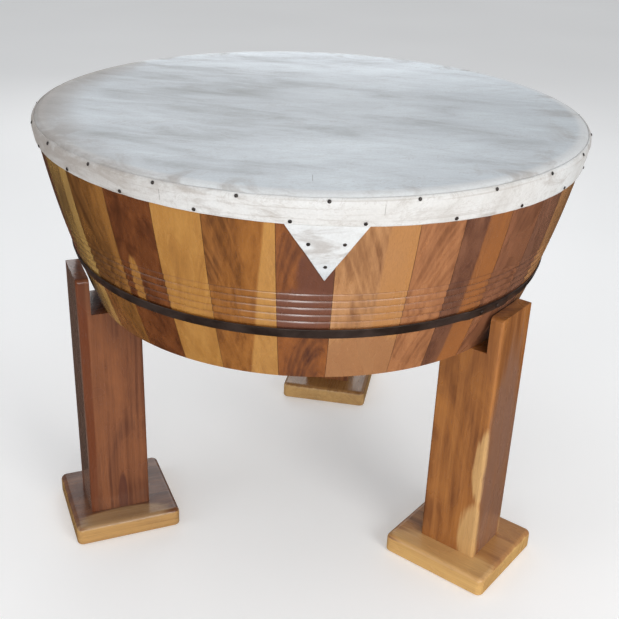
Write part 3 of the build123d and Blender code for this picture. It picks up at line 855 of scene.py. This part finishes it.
def strip_point(azimuth, z, offset):
    """A point on a layer of the strip, on the side or on the shoulder."""
    round_radius = EDGE_ROUND + offset - LAYER_FIT
    top_z = TOP_Z + offset - SKIN_OUT
    (mid_r, mid_z), (_, end_z) = shoulder(offset, top_z, round_radius)
    if z > end_z:
        tall = min(1.0, (z - mid_z) / round_radius)
        return polar(mid_r + round_radius * math.sqrt(1 - tall * tall), azimuth, z)
    return polar(side_radius(z, offset), azimuth, z)


# ---- tacks, hoop and rivets --------------------------------------------------------------
def lathe(profile, place, axis, around=24, squash=0.0):
    """Vertices and faces of a turned solid whose profile ends lie on its axis."""
    rotation = axis.to_track_quat("Z", "X").to_matrix()
    vertices, faces = [], []
    rows = len(profile) - 2
    for i in range(around):
        angle = 2 * math.pi * i / around
        swell = 1 - squash * (0.5 + 0.5 * math.cos(2 * angle))
        for radius, height in profile[1:-1]:
            local = Vector((radius * swell * math.cos(angle), radius * math.sin(angle), height))
            vertices.append(place + rotation @ local)
    faces += grid_faces(around, rows, True, False)
    first, last = len(vertices), len(vertices) + 1
    vertices.append(place + rotation @ Vector((0, 0, profile[0][1])))
    vertices.append(place + rotation @ Vector((0, 0, profile[-1][1])))
    for i in range(around):
        j = (i + 1) % around
        faces.append((first, i * rows, j * rows))
        faces.append((last, j * rows + rows - 1, i * rows + rows - 1))
    return vertices, faces


def join_parts(name, parts):
    """One mesh of several closed shells."""
    vertices, faces = [], []
    for part_vertices, part_faces in parts:
        base = len(vertices)
        vertices += part_vertices
        faces += [tuple(base + v for v in face) for face in part_faces]
    return new_mesh(name, vertices, faces)


TACK_HEAD_R = 3.5 * MM
TACK_HEAD_H = 1.6 * MM
TACK_SHANK_R = 0.8 * MM
TACK_LENGTH = 15 * MM


def tack_profile(head_r, head_h):
    """Domed head with a rolled edge, a square-looking shoulder and a pointed shank."""
    dome = [(head_r * math.sin(a), head_h * math.cos(a) - head_h) for a in
            [math.radians(t) for t in (0, 12, 24, 36, 48, 60, 72, 84)]]
    rim = [(head_r, -0.92 * head_h), (0.985 * head_r, -head_h)]
    shank_end = 2 * MM - TACK_LENGTH - head_h
    shank = [(TACK_SHANK_R, -head_h), (TACK_SHANK_R, shank_end), (0, -TACK_LENGTH - head_h)]
    return dome + rim + shank


TACK_LEAN = 0.03            # sideways share of a tack's axis


def build_tacks(row, material):
    parts = []
    for crown, axis in TACKS[row]:
        size = RANDOM.uniform(0.82, 0.90)
        tip = Vector([RANDOM.uniform(-TACK_LEAN, TACK_LEAN) for _ in range(3)])
        seat = crown - axis * RANDOM.uniform(0.05, 0.3) * MM
        squash = RANDOM.uniform(0.0, 0.05)
        profile = tack_profile(TACK_HEAD_R * size, TACK_HEAD_H)
        parts.append(lathe(profile, seat, (axis + tip).normalized(), 28, squash))
    tacks = join_parts(f"tack_heads_{row}", parts)
    return give(tacks, "drum", material, "tack_iron", f"tacks_{row}")


def build_hoop(material):
    """Flat bar bent round the shell, its outer end lapped over its inner end."""
    start = HOOP_END - HOOP_LAP + HOOP_JOGGLE
    finish = HOOP_END + 360
    joggle = HOOP_END - HOOP_LAP + 360
    lifted = HOOP_THICK + HOOP_LAP_GAP
    bevel = 0.5 * MM
    count = 900
    columns = []
    for i in range(count + 1):
        azimuth = start + (finish - start) * i / count
        share = min(1.0, max(0.0, (azimuth - (joggle - HOOP_JOGGLE)) / HOOP_JOGGLE))
        inner = HOOP_FIT + lifted * share * share * (3 - 2 * share)
        outer = inner + HOOP_THICK
        end = math.radians(min(azimuth - start, finish - azimuth)) * FOOT_R
        narrow = max(0.0, 1 - end / (3 * MM)) ** 2 * 2.5 * MM
        low = HOOP_LOW_Z + narrow
        high = HOOP_TOP_Z - narrow
        east, north = math.cos(math.radians(azimuth)), math.sin(math.radians(azimuth))
        beaten = 0.12 * MM * wander(40 * east, 40 * north, share)
        middle = (low + high) / 2
        outline = (
            (low, inner), (low, outer - bevel),
            (low + bevel, outer - 0.1 * MM), (low + 3 * bevel, outer + min(0, beaten)),
            (middle, outer + min(0, -beaten)), (high - 3 * bevel, outer + min(0, beaten)),
            (high - bevel, outer - 0.1 * MM), (high, outer - bevel), (high, inner), (middle, inner),
        )
        columns.append([polar(side_radius(z, offset), azimuth, z) for z, offset in outline])
    rows = len(columns[0])
    vertices = [point for column in columns for point in column]
    faces = grid_faces(count + 1, rows, False, True)
    faces.append(tuple(range(rows)))
    faces.append(tuple(count * rows + j for j in reversed(range(rows))))
    hoop = new_mesh("hoop", vertices, faces)
    return give(hoop, "drum", material, "hoop_iron", "iron_hoop")


RIVET_HEAD_R = 4.5 * MM
RIVET_HEAD_H = 2 * MM
RIVET_R = 2.5 * MM


def build_rivets(material):
    parts = []
    middle_z = (HOOP_LOW_Z + HOOP_TOP_Z) / 2
    grip = 2 * HOOP_THICK + HOOP_LAP_GAP + 0.05 * MM
    for points in islands("hoop_rivets"):
        azimuth = azimuth_of(points[:, 0].mean(), points[:, 1].mean())
        across, tall = side_normal(middle_z, HOOP_FIT)
        axis = polar(across, azimuth, tall).normalized()
        seat = polar(side_radius(middle_z, HOOP_FIT), azimuth, middle_z) + axis * grip
        dome = [(RIVET_HEAD_R * math.sin(math.radians(t)), RIVET_HEAD_H * math.cos(math.radians(t)))
                for t in range(0, 91, 10)]
        profile = dome + [(RIVET_R, 0.0), (RIVET_R, -grip), (0, -grip)]
        parts.append(lathe(profile, seat, axis, 32))
    rivets = join_parts("rivets", parts)
    return give(rivets, "drum", material, "hoop_iron", "hoop_rivets")


# ---- floor, light and camera -------------------------------------------------------------
FLOOR_HALF = 90.0
FLOOR_Z = -0.4 * MM         # just under the foot plates
PAPER_TONES = (colour(238, 238, 238), colour(244, 244, 244))


def build_floor():
    corners = [(x * FLOOR_HALF, y * FLOOR_HALF, FLOOR_Z) for x, y in ((-1, -1), (1, -1), (1, 1), (-1, 1))]
    floor = new_mesh("floor", corners, [(0, 1, 2, 3)], smooth=False)
    shader = Shader("floor_paper", Roughness=0.9)
    cloud = shader.noise(shader.place, 0.8, 2.0, 0.5)
    shader.drive("Base Color", shader.ramp(cloud, (0.3, PAPER_TONES[0]), (0.7, PAPER_TONES[1])))
    shader.surface.inputs["Emission Color"].default_value = (1.0, 0.985, 0.96, 1)
    shader.surface.inputs["Emission Strength"].default_value = 0.22
    floor.data.materials.append(shader.material)
    floor.visible_glossy = False


def area_light(name, place, aim, size, power, tone):
    light = bpy.data.lights.new(name, "AREA")
    light.shape = "RECTANGLE"
    light.size, light.size_y = size
    light.energy = power
    light.color = tone
    lamp = bpy.data.objects.new(name, light)
    bpy.context.scene.collection.objects.link(lamp)
    lamp.location = place
    lamp.rotation_euler = (Vector(aim) - Vector(place)).to_track_quat("-Z", "Y").to_euler()


DOME_RAISE = 0.10           # added to the height of a direction before the two stops
DOME_DARK = (0.04, (0.030, 0.024, 0.020, 1))
DOME_LIGHT = (0.08, (0.90, 0.93, 0.97, 1))


def light_scene():
    target = (0, 0, 0.55)
    area_light("key", (2.3, -2.5, 1.7), target, (1.5, 1.5), 46, (1.0, 0.985, 0.96))
    area_light("window", (0.35, -3.6, 0.75), target, (0.45, 1.3), 16, (0.97, 0.985, 1.0))
    area_light("doorway", (0.2, -4.4, 0.9), target, (3.6, 0.7), 26, (1.0, 0.97, 0.93))
    area_light("fill", (-2.6, -1.6, 1.5), target, (1.6, 1.6), 12, (0.96, 0.98, 1.0))
    area_light("sky", (0.0, 0.4, 3.2), target, (3.4, 3.4), 25, (0.94, 0.97, 1.0))
    area_light("back", (-0.8, 3.0, 1.8), target, (2.0, 1.4), 14, (1.0, 1.0, 1.0))
    world = bpy.data.worlds.new("studio")
    world.use_nodes = True
    nodes, links = world.node_tree.nodes, world.node_tree.links
    direction = nodes.new("ShaderNodeSeparateXYZ")
    links.new(nodes.new("ShaderNodeTexCoord").outputs["Generated"], direction.inputs[0])
    dome = nodes.new("ShaderNodeValToRGB")
    raised = nodes.new("ShaderNodeMath")
    raised.operation = "ADD"
    raised.inputs[1].default_value = DOME_RAISE
    links.new(direction.outputs["Z"], raised.inputs[0])
    links.new(raised.outputs[0], dome.inputs[0])
    for element, (position, tone) in zip(dome.color_ramp.elements, (DOME_DARK, DOME_LIGHT)):
        element.position, element.color = position, tone
    links.new(dome.outputs[0], nodes["Background"].inputs["Color"])
    nodes["Background"].inputs["Strength"].default_value = 0.42
    bpy.context.scene.world = world
    bpy.context.scene.view_settings.view_transform = "Standard"


CAMERA_PLACE = (0.23149, -1.77462, 1.25498)
CAMERA_PITCH = 25.832       # degrees below level
CAMERA_HEADING = 7.132      # degrees to the left of +Y
CAMERA_ROLL = 2.252
CAMERA_LENS = 57.35         # mm, on a 36 mm sensor


def add_camera():
    camera = bpy.data.objects.new("camera", bpy.data.cameras.new("camera"))
    camera.data.lens = CAMERA_LENS
    camera.data.sensor_width = 36
    camera.data.clip_end = 60
    turn = Matrix.Rotation(math.radians(CAMERA_HEADING), 4, "Z")
    tilt = Matrix.Rotation(math.radians(90 - CAMERA_PITCH), 4, "X")
    roll = Matrix.Rotation(math.radians(CAMERA_ROLL), 4, "Z")
    camera.matrix_world = Matrix.Translation(CAMERA_PLACE) @ turn @ tilt @ roll
    bpy.context.scene.collection.objects.link(camera)
    bpy.context.scene.camera = camera


add_camera()
finish_staves()
finish_stand()
HIDE_TONES = (colour(216, 223, 227), colour(201, 206, 210), colour(170, 173, 174))
# Painted light on the head: (y, brightness) along its depth, brighter at the back in place of glare.
HIDE_PAINTED_LIGHT = ((-0.46, 0.98), (-0.25, 1.0), (-0.02, 0.90), (0.15, 0.92), (0.33, 1.24), (0.44, 1.36))
STRIP_TONES = (colour(222, 222, 221), colour(212, 210, 207), colour(182, 176, 170))
HEAD_SLIT = ((-82.0, 0.408, 0.438, 0.6 * MM, True),)
STRIP_SLITS = ((-70.1, TOP_Z - 31 * MM, TOP_Z - 13 * MM, 0.5 * MM, False),
               (-108.1, TOP_Z - 34 * MM, TOP_Z - 15 * MM, 0.5 * MM, False))
HEAD_STAIN = colour(142, 128, 116)
STRIP_STAIN = colour(150, 136, 124)
TACK_TONES = (colour(34, 28, 26), colour(58, 50, 46), colour(92, 58, 38))
HOOP_TONES = (colour(46, 32, 25), colour(74, 60, 54), colour(88, 56, 38))
build_hide(rawhide("rawhide_head_finish", HIDE_TONES, 2.0, HEAD_STAIN, HEAD_SLIT, painted_light=HIDE_PAINTED_LIGHT))
build_strip(rawhide("rawhide_strip_finish", STRIP_TONES, 6.0, STRIP_STAIN, STRIP_SLITS, creases=0.30))
black_iron = iron("tack_iron_finish", TACK_TONES, 1, 160)
hoop_iron = iron("hoop_iron_finish", HOOP_TONES, 2, 22)
for tack_row in TACKS:
    build_tacks(tack_row, black_iron)
build_hoop(hoop_iron)
build_rivets(hoop_iron)
build_floor()
light_scene()
